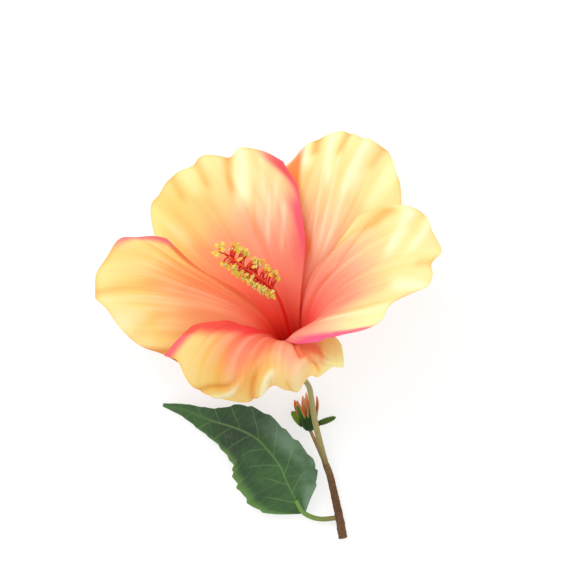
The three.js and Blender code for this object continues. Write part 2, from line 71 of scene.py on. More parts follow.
# Form of each petal: claw and azimuth are where it starts and spreads round the bloom, in degrees;
# bend is the midline's angle from the bloom's axis; over and under are its half widths from a fifth
# of its length to the tip; rim is its length across its width, over side first; ruffle is how far
# the rim waves inwards; edge and lift raise the two margins; twist tips the petal, and curl rolls
# its margins inwards.
PETALS = {
    "petal_top_left": dict(
        claw=14, azimuth=15, length=97, bend=[3, 26, 58, 75, 86, 102],
        over=[8.5, 18, 26, 29, 29], under=[9, 19, 28, 32, 31],
        rim=[0.68, 0.82, 0.875, 0.9, 0.95, 0.98, 0.975, 0.98, 0.985, 0.965, 0.91, 0.75, 0.6],
        ruffle=[0.6, -1.2, 0.8, -1.2, 0, 1.3, 0, 1.2, 0.8, -0.2, 1.5, -0.5, -1.5],
        edge=[1.4, -1], lift=[2, -2], twist=6, curl=[4, 0], cup=1,
    ),
    "petal_left": dict(
        claw=86, azimuth=74, length=88, bend=[3, 25, 55, 72, 86, 100],
        over=[3.5, 5.5, 13, 26.5, 33], under=[8, 17, 24, 24, 20],
        rim=[0.7, 0.81, 0.875, 0.93, 0.985, 0.995, 0.985, 0.94, 0.895, 0.8, 0.66, 0.49, 0.32],
        ruffle=[1, -2.2, 2.2, 0.8, -1, -0.9, 0.5, 0.6, -2, -1.6, 3, 0.2, -2],
        edge=[0.9, -1.6], lift=[2, -12], twist=17, curl=[0, 0], cup=0.5,
    ),
    "petal_bottom": dict(
        claw=158, azimuth=156, length=60, bend=[3, 13, 40, 130, 188, 200],
        over=[4.8, 15.5, 40, 48, 42], under=[7, 25, 29, 25, 20],
        rim=[0.6, 0.615, 0.695, 0.815, 0.955, 0.87, 0.775, 0.82, 0.88, 0.735, 0.745, 0.58, 0.4],
        ruffle=[-4, 0, 1.9, 0, -0.7, 1.4, -0.3, 0.4, 0, 0.6, 2, 0, 2],
        edge=[1.6, -3], lift=[4.5, -1.5], twist=6, curl=[0, -8], cup=0.05,
    ),
    "petal_right": dict(
        claw=230, azimuth=267, length=80, bend=[3, 23, 51, 72, 98, 128],
        over=[7.5, 25, 35, 37, 35], under=[6, 12, 22, 34, 37],
        rim=[0.57, 0.665, 0.72, 0.8, 0.89, 0.93, 0.935, 0.99, 0.985, 0.965, 0.92, 0.8, 0.665],
        ruffle=[0.3, -1.5, 1.6, 0.6, -1.5, -0.5, 1.5, 1.5, 0.5, -0.2, 1.6, 0, -1.2],
        edge=[1.6, 1.3], lift=[5.2, 3], twist=0, curl=[0, 0], cup=0.5,
    ),
    "petal_top_right": dict(
        claw=302, azimuth=324, length=104, bend=[3, 26, 60, 77, 90, 108],
        over=[9, 17, 25, 28, 27], under=[9, 18, 26, 30, 28],
        rim=[0.7, 0.79, 0.855, 0.93, 0.975, 0.94, 0.96, 0.965, 0.965, 0.935, 0.89, 0.79, 0.635],
        ruffle=[-2, 1.8, 0.6, -1.5, -2, 1.4, -0.8, 0, 1, 1.5, 0.8, -2.2, 0],
        edge=[-1.3, -1.6], lift=[-5, -3], twist=0, curl=[0, 0], cup=1,
    ),
}

COLUMN_ROUTE = [
    (4.1, -28.95, 21.65), (3.6, -26.9, 23.9), (1.9, -20.8, 31), (0.6, -13.5, 38), (-1.7, -6.5, 45),
    (-4.1, -1.9, 49.5), (-8.5, 1.9, 53), (-14.8, 6.3, 57.5), (-21, 10.7, 62),
]
COLUMN_RADIUS, FILAMENT_RADIUS = (0.66, 0.52), (0.24, 0.18)  # at foot and tip
STAMENS = 118
STAMEN_ZONE = (0.61, 0.995)
STAMEN_SEED, STYLE_SEED = 31, 7
UPPER_SHARE = 0.42
UPPER_ROW = (0, 0.55, 4.9)  # the stamens' middle angle, its spread and their length
LOWER_ROW = (math.radians(192), 0.62, 3.3)
ANTHER_SIZE, ANTHER_STRETCH, ANTHER_BOW = 0.62, np.array([1.75, 0.9, 0.8]), np.array([0, 0.35, 0])
GRAINS, GRAIN_RADIUS = 26, (0.17, 0.30)  # on each anther, from small to large

STYLE_FORK = 2.5  # how far past the column's tip the style forks
STIGMAS, STIGMA_REACH = 5, 3
STYLE_RADIUS, STIGMA_STALK_RADIUS = 0.42, 0.3
PAD_SIZE = np.array([0.75, 0.75, 1.3])  # half sizes of a stigma pad
PAD_GRAINS, PAD_GRAIN_RADIUS = 44, 0.2

CALYX_LOBES = 5
CALYX_PROFILE = [
    (0, -7), (1.7, -7), (3.2, -5.6), (5.6, -2.8), (7.9, 0.6), (9, 3.5), (9.6, 6), (10, 8),
    (9.3, 8.1), (8.9, 6), (8.2, 3.5), (7.2, 0.6), (6.6, -0.5), (0, -0.5),
]
CALYX_FOOT, CALYX_HEIGHT, CALYX_LOBE_FOOT = -7, 15, 2
COLLAR_TOP, COLLAR_SHARE, COLLAR_RADIUS = -7.7, 0.79, 1.55
STEM_ROUTE = [
    (6.3, -35.4, 15), (6.9, -36.3, 14), (8.1, -37.3, 13.3), (9.2, -39.1, 12.9), (10, -42.6, 12.3),
    (11.1, -49.9, 11.6), (12.3, -55.7, 10.6), (13.7, -61.6, 8.8), (15.6, -68.8, 6),
]
STEM_RADIUS = 1.15
TWIG_ROUTE = [
    (15.7, -69, 5.9), (17.4, -73.7, 4.8), (19.3, -81.9, 3.4), (20.9, -89.3, 2.4),
    (22.4, -97.9, 1.6),
]
TWIG_RADIUS = 1.7
BUD_STEM_ROUTE = [(9.8, -56.25, 4.6), (11.6, -60.2, 4.2), (13.5, -64.4, 3.7), (16.8, -72.2, 4.4)]
BUD_STEM_RADIUS = 0.65

BUD_BASE, BUD_TIP = np.array([10, -56.8, 4.6]), np.array([7.3, -41.7, 5.2])
BUD_RADIUS, BUD_LENGTH = 3.7, 15.4
BUD_PETALS, BUD_PETAL_RADIUS = 3, 1.38
BUD_CUP_PROFILE = [
    (0, 0.6), (1.2, 0.6), (2.4, 1.6), (3.2, 4), (3.5, 6.2), (2.8, 6.2), (2.5, 4), (1.9, 2.6),
    (0, 2.4),
]
BUD_LOBE_FOOT, BUD_LOBE_LENGTH, BUD_LOBE_HALF_WIDTH = 4.6, 8.5, 2.5
BUD_LOBE_THICKNESS, BRACT_THICKNESS = 0.45, 0.5
# Foot, tip, half width, depth of the teeth, ripeness of the colour.
BUD_BRACTS = [
    ((7.1, -54.4, 3.5), (2.6, -48.8, 3.6), 1.4, 0.03, 0.25),
    ((12.1, -53.8, 3.9), (19.6, -51, 5), 0.95, 0.2, 0.04),
]
BRACT_TEETH = 8

LEAF_MIDRIB = [
    (7, -87.7, 4.2), (4.2, -82.9, 5.5), (0.4, -75.1, 7.5), (-1.5, -70.4, 8.5), (-5, -65.4, 9),
    (-11.2, -58.9, 9), (-18.1, -55.4, 8), (-28.5, -52.1, 6), (-38.6, -48.3, 3.5),
    (-47.2, -46.4, 1.5),
]
LEAF_LEFT = [1.4, 13.5, 17.6, 18.4, 16.8, 14, 10.6, 6.8, 4.4, 2.4, 0.6]
LEAF_RIGHT = [1.4, 9.5, 12.6, 11.4, 10.2, 10.1, 9.4, 5.6, 3.4, 2, 0.6]
LEAF_TEETH, TOOTH_DEPTH, TOOTH_CREST = 13, 0.035, 0.75
LEAF_SLOPE = (-0.12, 0.42)
LEAF_WAVES, LEAF_WAVE_HEIGHT = 2.4, 0.9
LEAF_LOWEST = 0.5
LEAF_THICKNESS = 0.45
VEIN_SPACING, VEIN_STAGGER, FORK_SPACING = 8.2, 3.5, 3.1
PETIOLE_ROUTE = [
    (4.2, -82.9, 5.4), (7, -87.7, 4.2), (10.4, -89.7, 3.4), (14.3, -90.5, 2.9), (19.5, -90.05, 2.6),
]
PETIOLE_RADIUS = 0.97

# ---- Looks ----

PETAL_GRID, LEAF_GRID, LOBE_GRID, BRACT_GRID = (120, 160), (260, 84), (44, 20), (60, 16)
SHARP_ANGLE = math.radians(60)
PETAL_THICKNESS = 0.4
# How far the over margin flares, in millimetres, and how much of that is gone at the rim.
SPREAD = {"petal_top_left": (2.6, 1.0), "petal_right": (2.0, 0.2)}

# Folds that run along a petal: share of the way to the rim and v where each starts, and the same
# where it ends; height and half width in millimetres; painted light laid along the fold, from a
# whitish painted highlight (up to 1) to a yellow-brown painted shade (down to -1).
FOLDS = {
    "petal_top_left": [
        (0.62, -0.24, 1.02, -0.64, 0.7, 2, 0.95), (0.68, -0.18, 1.02, -0.48, -0.5, 1.2, -0.65),
        (0.6, -0.47, 0.98, -0.84, 0.3, 0.8, 0.3), (0.58, -0.6, 0.82, -0.84, 0.25, 0.6, 0.4),
        (0.5, -0.25, 0.78, -0.52, -0.2, 0.6, -0.3), (0.46, -0.38, 0.72, -0.66, 0.2, 0.7, 0.4),
        (0.42, -0.6, 0.66, -0.8, 0.2, 0.7, 0.35), (0.8, -0.02, 1.02, -0.08, -0.45, 1.5, -0.5),
        (0.78, 0.12, 1.02, 0.1, 0.4, 2.4, 0.4), (0.8, 0.3, 1.02, 0.28, -0.4, 1.4, -0.4),
        (0.6, 0.5, 1.02, 0.72, 0.4, 2.6, 0.3),
    ],
    "petal_left": [
        (0.7, -0.5, 1.02, -0.35, 0.4, 2.6, 0.2), (0.6, -0.1, 1.02, 0.08, 0.4, 2.4, 0.2),
        (0.55, 0.12, 1.02, 0.3, 0.35, 2, 0.3), (0.66, -0.2, 1.02, -0.12, -0.35, 1.5, -0.3),
        (0.3, 0.1, 0.8, 0.24, -0.25, 1, -0.25), (0.7, 0.2, 1.02, 0.44, -0.4, 1.3, -0.3),
    ],
    "petal_bottom": [
        (0.7, -0.27, 1.03, -0.62, -0.9, 1.2, -0.8), (0.74, -0.24, 1.04, -0.52, 0.9, 0.9, 0.9),
        (0.72, -0.12, 1.03, -0.2, -1.1, 1.6, -1), (0.8, 0.02, 1.04, -0.11, 0.9, 1.5, 1),
        (0.5, -0.1, 0.85, -0.24, 0.5, 1, -0.35), (0.42, 0.14, 0.66, 0.38, -0.7, 0.7, -0.5),
        (0.5, 0.3, 0.95, 0.64, -0.7, 0.7, -0.6), (0.6, 0.36, 1.03, 0.4, 0.8, 2.2, 0.25),
        (0.5, 0.85, 1.03, 0.84, 0.6, 1.6, 0.3), (0.8, 1, 1.05, 1, 2.4, 4, 0),
        (0.34, 0.38, 0.76, 0.56, 2.6, 4.5, 0), (0.36, -0.9, 0.72, -0.9, -3.2, 7, 0),
        (0.76, -1, 1.04, -1, 3.6, 6, 0), (0.85, 0.2, 1, 0.24, -0.3, 0.6, -0.45),
    ],
    "petal_right": [
        (0.18, 0.56, 0.5, 0.5, -0.5, 0.5, -0.5), (0.48, 0.46, 0.8, 0.76, -0.4, 0.5, -0.35),
        (0.7, 0.1, 1.02, 0.86, 0.7, 2.2, 0.9), (0.7, 0.66, 1.02, 0.84, -0.5, 2.2, -0.8),
        (0.82, 0.1, 1.02, 0.62, 0.5, 1.8, 0.8), (0.82, 0.45, 1.02, 0.66, -0.4, 1.2, -0.35),
        (0.76, -0.2, 1.02, -0.36, 0.5, 3.2, 0.9), (0.9, 0, 1.02, 0.05, -0.4, 2, -0.4),
        (0.5, -0.62, 1, -0.7, 0.3, 1, 0.4), (0.45, -0.5, 0.9, -0.56, -0.3, 0.9, -0.25),
        (0.42, -1, 0.74, -1, -3.4, 4, 0),
    ],
    "petal_top_right": [
        (0.76, 0.42, 1.02, 0.74, 0.5, 1.8, 0.9), (0.66, 0, 1.02, 0.44, 0.6, 1.6, 0.85),
        (0.84, 0.44, 1.02, 0.6, -0.5, 1.6, -0.9), (0.66, -0.28, 1.02, -0.12, 0.7, 2.6, 0.85),
        (0.36, -0.4, 0.84, -0.16, 0.35, 0.7, 0.5), (0.4, -0.3, 0.9, 0.14, 0.3, 0.6, 0.4),
        (0.42, -0.12, 0.8, 0.24, 0.3, 0.6, 0.35), (0.45, -0.46, 0.8, -0.34, -0.2, 0.7, -0.25),
        (0.84, 0.12, 1.02, 0.22, -0.4, 1.4, -0.7), (0.8, -0.3, 1.02, -0.32, -0.4, 1.3, -0.45),
        (0.66, -0.56, 1.02, -0.62, 0.5, 2.4, 0.6),
    ],
}

# Colours, as sRGB: stops run from the throat to the rim, for the over side and the under side.
THROAT_STOP = (0.1, (236, 48, 32))  # the first of every petal
PETAL_COLOURS = {
    "petal_top_left": (
        [
            (0.2, (255, 94, 72)), (0.3, (255, 124, 100)), (0.42, (253, 154, 124)),
            (0.52, (252, 172, 138)), (0.62, (253, 206, 164)), (0.74, (253, 230, 170)),
            (0.92, (254, 240, 178)),
        ],
        [
            (0.2, (255, 98, 76)), (0.32, (254, 132, 102)), (0.46, (252, 152, 104)),
            (0.58, (254, 174, 116)), (0.69, (254, 210, 128)), (0.84, (253, 226, 138)),
            (0.96, (255, 238, 158)),
        ],
    ),
    "petal_left": (
        [
            (0.2, (250, 76, 52)), (0.3, (253, 112, 80)), (0.45, (252, 138, 88)),
            (0.62, (252, 150, 86)), (0.74, (253, 184, 104)), (0.82, (253, 214, 124)),
            (0.96, (254, 232, 152)),
        ],
        [
            (0.2, (248, 84, 60)), (0.3, (253, 150, 118)), (0.45, (254, 188, 144)),
            (0.58, (254, 196, 140)), (0.69, (253, 206, 132)), (0.82, (253, 222, 136)),
            (0.96, (254, 238, 172)),
        ],
    ),
    "petal_bottom": (
        [
            (0.36, (224, 52, 30)), (0.48, (246, 88, 64)), (0.56, (253, 124, 92)),
            (0.66, (254, 160, 106)), (0.76, (253, 198, 104)), (0.86, (254, 216, 112)),
            (0.98, (254, 224, 134)),
        ],
        [
            (0.3, (250, 122, 90)), (0.5, (251, 138, 100)), (0.65, (252, 150, 106)),
            (0.73, (253, 188, 126)), (0.81, (253, 212, 138)), (0.96, (254, 224, 144)),
        ],
    ),
    "petal_right": (
        [
            (0.2, (246, 82, 70)), (0.3, (252, 104, 88)), (0.43, (252, 144, 124)),
            (0.56, (253, 166, 136)), (0.66, (253, 200, 154)), (0.78, (253, 230, 164)),
            (0.92, (254, 241, 174)),
        ],
        [
            (0.2, (246, 84, 72)), (0.29, (252, 108, 92)), (0.39, (252, 146, 124)),
            (0.51, (253, 168, 138)), (0.61, (253, 194, 152)), (0.71, (253, 220, 158)),
            (0.82, (254, 238, 166)),
        ],
    ),
    "petal_top_right": (
        [
            (0.2, (248, 82, 64)), (0.3, (253, 134, 112)), (0.4, (252, 170, 142)),
            (0.5, (252, 200, 162)), (0.6, (253, 222, 170)), (0.74, (254, 236, 170)),
            (0.92, (254, 243, 178)),
        ],
        [
            (0.2, (244, 70, 54)), (0.3, (250, 110, 88)), (0.42, (252, 152, 122)),
            (0.53, (253, 194, 152)), (0.64, (254, 220, 156)), (0.8, (254, 234, 160)),
            (0.95, (254, 241, 172)),
        ],
    ),
}
# Colours of the painted highlight on fold crests and of the painted shade multiplied in along fold
# valleys.
PAINTED_HIGHLIGHT_COLOUR = (255, 254, 216)
PAINTED_SHADE_COLOUR = (244, 200, 132)
ROSE = (250, 84, 118)
MAGENTA = (250, 102, 154)
PINK = (242, 104, 134)
CRIMSON = (250, 64, 68)
SCARLET = (236, 86, 36)
# Orange of the painted shadow that petal_top_left's margin casts on petal_top_right.
PAINTED_SHADOW_ORANGE = (253, 142, 54)
# Amber of the painted shadow that petal_bottom casts on petal_left near their seam.
PAINTED_SHADOW_AMBER = (226, 144, 58)
LEMON = (255, 250, 186)

# Tinted margins, painted shadows among them where a neighbour petal overlaps: side (-1 over, 1
# under, 0 rim), width where it starts and ends and softness in millimetres, start and end as a
# share of the way to the rim (as v along the rim), colour and strength. A pair of sides is the v
# where the tint's middle starts and ends.
TINTS = {
    "petal_top_left": [(-1, (1.6, 1.4), 4.6, 0.36, 1.2, ROSE, 0.92)],
    "petal_left": [
        # petal_left's over margin: a thin scarlet line, partly the margin's own colour and partly
        # painted shade at the seam with petal_top_left; the pink at the tip is the petal's own
        # colour.
        (-1, (0, 0.6), 1.2, 0.1, 1.3, SCARLET, 0.75), (0, (0.6, 2.4), 5, -0.5, -1.3, PINK, 0.85),
        # Painted shadow of petal_bottom on petal_left's under side.
        (1, (12, 7.5), 3, 0.6, 1.3, PAINTED_SHADOW_AMBER, 0.75),
    ],
    "petal_bottom": [
        ((-0.28, -1.16), (1.3, 2.2), 3.6, 0.37, 1, CRIMSON, 0.9),
        (-1, (1.4, 2.4), 4, 0.76, 1.3, ROSE, 0.85), (1, (6, 8), 4, 0.36, 1.4, LEMON, 0.9),
    ],
    "petal_right": [(-1, (3, 2), 2.4, 0.42, 1.1, MAGENTA, 0.95)],
    # petal_top_right: an orange painted shadow along the under side, where petal_top_left's margin
    # overlaps.
    "petal_top_right": [(1, (20, 6), 3, 0.35, 1.05, PAINTED_SHADOW_ORANGE, 0.88)],
}


# ---- Numbers ----


def smooth(x, low=0.0, high=1.0):
    x = np.clip((np.asarray(x, float) - low) / (high - low), 0, 1)
    return x * x * (3 - 2 * x)


def lerp(a, b, x):
    return a + (b - a) * x


def grown(what, s):
    return smooth(s, *GROWTH[what])


def through(values, x):
    """Values at x, from 0 to 1, on a smooth curve through evenly spaced values."""
    values = np.asarray(values, float)
    last = len(values) - 1
    place = np.clip(x, 0, 1) * last
    i = np.minimum(np.floor(place).astype(int), last - 1)
    f = place - i
    b, c = values[i], values[i + 1]
    a = np.where(i > 0, values[np.maximum(i - 1, 0)], 2 * b - c)
    d = np.where(i + 2 <= last, values[np.minimum(i + 2, last)], 2 * c - b)
    return b + 0.5 * f * (c - a + f * (2 * a - 5 * b + 4 * c - d + f * (3 * (b - c) + d - a)))


def unit(vectors):
    return vectors / np.maximum(np.linalg.norm(vectors, axis=-1, keepdims=True), 1e-9)


def ridge(distance, width):
    """1 on a line, falling off smoothly with the distance from it."""
    return np.exp(-((distance / width) ** 2))


def turns(count, start=0.0):
    """Angles spaced evenly round a circle."""
    return [2 * math.pi * k / count + start for k in range(count)]


def round_about(along):
    """Two directions square to a third."""
    side = unit(np.cross(along, UP))
    return side, np.cross(along, side)


def waves(seed, count, *axes):
    """Soft random field, mostly from -1 to 1, that changes once or so over a unit of an axis."""
    random = np.random.default_rng(seed)
    total = 0
    for _ in range(count):
        phase = random.uniform(0, 2 * math.pi)
        total = total + np.sin(sum(random.normal() * 3 * axis for axis in axes) + phase)
    return total / math.sqrt(count)


def linear(colour):
    """sRGB from 0 to 255 as linear RGBA."""
    c = np.array(colour, float) / 255
    c = np.where(c <= 0.04045, c / 12.92, ((c + 0.055) / 1.055) ** 2.4)
    return (*c, 1.0)


def turned_to(points, axis):
    """Points turned from +Z to an axis by the shortest way."""
    cross = np.cross(UP, axis)
    twist = np.array([[0, -cross[2], cross[1]], [cross[2], 0, -cross[0]], [-cross[1], cross[0], 0]])
    return points @ (np.eye(3) + twist + twist @ twist / (1 + axis[2])).T


# ---- Meshes: each is points in millimetres, faces, and values on the points ----


def add_piece(name, made, material, slot, *nodes, uvs=None):
    """A piece of the flower that stands for CAD nodes."""
    points, faces, attributes = made
    mesh = bpy.data.meshes.new(name)
    placed = (np.asarray(points, float) - BOX_MIDDLE) * MM
    mesh.from_pydata(placed.tolist(), [], faces)
    for key, values in attributes.items():
        values = np.asarray(values, np.float32)
        if values.ndim == 2:
            layer = mesh.attributes.new(key, "FLOAT_COLOR", "POINT")
            layer.data.foreach_set("color", values.ravel())
        else:
            layer = mesh.attributes.new(key, "FLOAT", "POINT")
            layer.data.foreach_set("value", values)
    if uvs is not None:
        layer = mesh.uv_layers.new(name="UVMap")
        loops = np.zeros(len(mesh.loops), int)
        mesh.loops.foreach_get("vertex_index", loops)
        layer.data.foreach_set("uv", np.asarray(uvs, np.float32)[loops].ravel())
    mesh.polygons.foreach_set("use_smooth", np.ones(len(mesh.polygons), bool))
    mesh.set_sharp_from_angle(angle=SHARP_ANGLE)
    mesh.materials.append(material)
    piece = bpy.data.objects.new(name, mesh)
    bpy.context.scene.collection.objects.link(piece)
    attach(piece, "root")
    if nodes:
        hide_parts(*nodes)


def gather(parts):
    """Joins parts into one."""
    points, faces, attributes, count = [], [], {}, 0
    for part_points, part_faces, part_attributes in parts:
        points.append(part_points)
        faces.extend([[i + count for i in face] for face in part_faces])
        for key, values in part_attributes.items():
            attributes.setdefault(key, []).append(values)
        count += len(part_points)
    return np.concatenate(points), faces, {k: np.concatenate(v) for k, v in attributes.items()}


def grid(rows, columns):
    return np.meshgrid(np.linspace(0, 1, rows + 1), np.linspace(-1, 1, columns + 1), indexing="ij")


def thin_solid(middle, thickness, **attributes):
    """Closed thin solid round a grid of middle points, with values on that grid."""
    normal = unit(np.cross(np.gradient(middle, axis=0), np.gradient(middle, axis=1)))
    offset = normal * thickness / 2
    points = np.concatenate([(middle + offset).reshape(-1, 3), (middle - offset).reshape(-1, 3)])
    points[:, 2] = np.maximum(points[:, 2], 0)
    index = np.arange(middle.shape[0] * middle.shape[1]).reshape(middle.shape[:2])
    behind = index.size
    a, b, c, d = index[:-1, :-1], index[1:, :-1], index[1:, 1:], index[:-1, 1:]
    front = np.stack([a, b, c, d], -1).reshape(-1, 4)
    back = np.stack([a, d, c, b], -1).reshape(-1, 4) + behind
    rim = np.concatenate([index[:-1, 0], index[-1, :-1], index[:0:-1, -1], index[0, :0:-1]])
    after = np.roll(rim, -1)
    edge = np.stack([rim, rim + behind, after + behind, after], -1)
    flat = {key: values.reshape(index.size, -1).squeeze() for key, values in attributes.items()}
    doubled = {key: np.concatenate([values, values]) for key, values in flat.items()}
    return points, np.concatenate([front, back, edge]).tolist(), doubled


def two_sided_uvs(u, v):
    """The front takes the left half of the map, the back the right half."""
    across = (v + 1) / 4 * 0.98 + 0.005
    front = np.stack([across, u * 0.98 + 0.01], -1).reshape(-1, 2)
    return np.concatenate([front, front + [0.5, 0]])


class Route:
    """Smooth curve through points, measured by its length."""

    def __init__(self, points, samples=60):
        p = np.asarray(points, float)
        p = np.vstack([2 * p[0] - p[1], p, 2 * p[-1] - p[-2]])
        line = [self.span(p[i : i + 4], samples) for i in range(len(p) - 3)]
        self.line = np.vstack([*line, p[-2]])
        steps = np.linalg.norm(np.diff(self.line, axis=0), axis=1)
        self.far = np.concatenate([[0], np.cumsum(steps)])
        self.length = self.far[-1]

    @staticmethod
    def span(p, samples):
        """Centripetal Catmull-Rom from the second point to the third."""
        gaps = np.sqrt(np.linalg.norm(np.diff(p, axis=0), axis=1))
        knots = np.concatenate([[0], np.cumsum(gaps)])
        t = np.linspace(knots[1], knots[2], samples, endpoint=False)[:, None]

        def mix(a, b, i, j):
            return ((knots[j] - t) * a + (t - knots[i]) * b) / (knots[j] - knots[i])

        first, second, third = mix(p[0], p[1], 0, 1), mix(p[1], p[2], 1, 2), mix(p[2], p[3], 2, 3)
        return mix(mix(first, second, 0, 2), mix(second, third, 1, 3), 1, 2)

    def at(self, t):
        far = np.clip(t, 0, 1) * self.length
        return np.stack([np.interp(far, self.far, self.line[:, k]) for k in range(3)], -1)

    def along(self, t):
        t = np.asarray(t, float)
        return unit(self.at(np.minimum(t + 0.01, 1)) - self.at(np.maximum(t - 0.01, 0)))


def tube(route, radius, steps, sides):
    """Closed round solid along a route. radius(t, angle) runs from t = 0 to 1."""
    t = np.linspace(0, 1, steps + 1)
    centres, directions = route.at(t), route.along(t)
    start = np.cross(directions[0], UP)
    normals = [unit(start) if np.linalg.norm(start) > 1e-3 else np.array([1.0, 0, 0])]
    for direction in directions[1:]:
        normals.append(unit(normals[-1] - direction * (normals[-1] @ direction)))
    normals = np.array(normals)[:, None]
    sideways = np.cross(directions[:, None], normals)
    angle = np.linspace(0, 2 * math.pi, sides, endpoint=False)
    size = radius(t[:, None], angle[None]) * np.ones((steps + 1, sides))
    ring = np.cos(angle)[None, :, None] * normals + np.sin(angle)[None, :, None] * sideways
    body = centres[:, None] + ring * size[..., None]
    points, faces = capped(body, centres[0], centres[-1])
    points[:, 2] = np.maximum(points[:, 2], 0)
    return points, faces, {"along": np.concatenate([np.repeat(t, sides), [0, 1]])}


def capped(rings, start, end):
    """Closed solid on rings of points, with a point at each end."""
    steps, sides = rings.shape[0] - 1, rings.shape[1]
    points = np.vstack([rings.reshape(-1, 3), start, end])
    index = np.arange((steps + 1) * sides).reshape(steps + 1, sides)
    after = np.roll(index, -1, axis=1)
    faces = np.stack([index[:-1], after[:-1], after[1:], index[1:]], -1).reshape(-1, 4).tolist()
    first, last = len(points) - 2, len(points) - 1
    faces += [[first, a, b] for a, b in zip(after[0].tolist(), index[0].tolist())]
    faces += [[last, a, b] for a, b in zip(index[-1].tolist(), after[-1].tolist())]
    return points, faces


def revolved(profile, steps, sides):
    """Closed solid turned about Z from radius and height."""
    route = Route([(radius, 0, height) for radius, height in profile], 20)
    line = route.at(np.linspace(0, 1, steps + 1)[1:-1])
    angle = np.linspace(0, 2 * math.pi, sides, endpoint=False)
    height = np.tile(line[:, 2:], sides)
    rings = np.stack([line[:, :1] * np.cos(angle), line[:, :1] * np.sin(angle), height], -1)
    return capped(rings, UP * profile[0][1], UP * profile[-1][1])


def ball(subdivisions):
    """Points and triangles of a unit sphere."""
    mesh = bmesh.new()
    bmesh.ops.create_icosphere(mesh, subdivisions=subdivisions, radius=1)
    points = np.array([v.co for v in mesh.verts])
    faces = [[v.index for v in f.verts] for f in mesh.faces]
    mesh.free()
    return points, faces


# ---- Materials ----


class Nodes:
    """Short hand for one material's nodes."""

    def __init__(self, name):
        self.material = bpy.data.materials.new(name)
        self.material.use_nodes = True
        self.tree = self.material.node_tree
        self.tree.nodes.clear()

    def add(self, kind, inputs=None, **settings):
        node = self.tree.nodes.new("ShaderNode" + kind)
        for key, value in settings.items():
            setattr(node, key, value)
        for key, value in (inputs or {}).items():
            self.put(node.inputs[key], value)
        return node

    def put(self, socket, value):
        if isinstance(value, bpy.types.NodeSocket):
            self.tree.links.new(value, socket)
        else:
            socket.default_value = value

    def value(self, name):
        return self.add("Attribute", attribute_name=name).outputs["Fac"]

    def colour(self, name):
        return self.add("Attribute", attribute_name=name).outputs["Color"]

    def math(self, operation, *values):
        return self.add("Math", dict(enumerate(values)), operation=operation).outputs[0]

    def mix(self, amount, a, b, blend="MIX"):
        inputs = {0: amount, 6: a, 7: b}
        return self.add("Mix", inputs, data_type="RGBA", blend_type=blend).outputs[2]

    def ramp(self, factor, stops):
        """Colour, or brightness where the stops are plain numbers, along a factor."""
        node = self.add("ValToRGB", {"Fac": factor})
        elements = node.color_ramp.elements
        while len(elements) < len(stops):
            elements.new(0.5)
        for element, (place, colour) in zip(elements, stops):
            element.position = place
            element.color = linear(colour) if isinstance(colour, tuple) else (*[colour] * 3, 1)
        return node.outputs[0]

    def place(self, x, y):
        return self.add("CombineXYZ", {"X": x, "Y": y}).outputs[0]

    def object_place(self):
        return self.add("TexCoord").outputs["Object"]

    def noise(self, vector, scale, detail=3.0, roughness=0.55):
        inputs = {"Vector": vector, "Scale": scale, "Detail": detail, "Roughness": roughness}
        return self.add("TexNoise", inputs).outputs["Fac"]

    def bump(self, height, strength, distance):
        inputs = {"Height": height, "Strength": strength, "Distance": distance}
        return self.add("Bump", inputs).outputs["Normal"]

    def finish(self, colour, roughness, normal=None, translucent=0.0, specular=0.3):
        """Surface with some light let through."""
        inputs = {"Base Color": colour, "Roughness": roughness, "Specular IOR Level": specular}
        if normal is not None:
            inputs["Normal"] = normal
        surface = self.add("BsdfPrincipled", inputs).outputs[0]
        if translucent:
            behind = self.add("BsdfTranslucent", {"Color": colour}).outputs[0]
            inputs = {0: translucent, 1: surface, 2: behind}
            surface = self.add("MixShader", inputs).outputs[0]
        self.add("OutputMaterial", {"Surface": surface})
        return self.material


def petal_skin(name):
    """Throat red to yellow rim, with fine veins that fan out from the claw."""
    n = Nodes(name + "_skin")
    reach, across = n.value("reach"), n.value("across")
    fanned = n.place(n.math("MULTIPLY", across, 30.0), n.math("MULTIPLY", reach, 1.6))
    streaks = n.noise(fanned, 1.5, 4.0, 0.6)
    clouds = n.noise(n.place(n.math("MULTIPLY", across, 2.2), reach), 2.4, 2.0)
    shift = n.math("ADD", n.math("MULTIPLY", streaks, 0.05), n.math("MULTIPLY", clouds, 0.1))
    place = n.math("ADD", reach, n.math("SUBTRACT", shift, 0.075))
    over, under = (n.ramp(place, [THROAT_STOP, *stops]) for stops in PETAL_COLOURS[name])
    side = n.ramp(n.math("MULTIPLY_ADD", across, 0.5, 0.5), [(0.25, 0.0), (0.7, 1.0)])
    colour = n.mix(side, over, under)
    # Painted highlight on the fold crests, then painted shade multiplied in along the valleys.
    colour = n.mix(n.value("pale"), colour, linear(PAINTED_HIGHLIGHT_COLOUR))
    colour = n.mix(n.value("ochre"), colour, linear(PAINTED_SHADE_COLOUR), "MULTIPLY")
    # Tinted margins, the painted shadows among them.
    colour = n.mix(n.value("tint_amount"), colour, n.colour("tint"))
    colour = n.mix(1.0, colour, n.ramp(streaks, [(0.3, 0.96), (0.55, 1.0)]), "MULTIPLY")
    normal = n.bump(streaks, 0.15, 0.0004)
    return n.finish(colour, 0.5, normal, translucent=0.3, specular=0.25)


def ramp_skin(name, key, stops, roughness=0.5, speckle=0.0, **options):
    """Colour along one of the mesh's values, broken up by fine noise."""
    n = Nodes(name)
    colour = n.ramp(n.value(key), stops)
    grain = n.noise(n.object_place(), 900.0)
    if speckle:
        colour = n.mix(1.0, colour, n.ramp(grain, [(0.35, 1 - speckle), (0.6, 1.0)]), "MULTIPLY")
    return n.finish(colour, roughness, n.bump(grain, 0.3, 0.0002), **options)


# ---- Petals ----

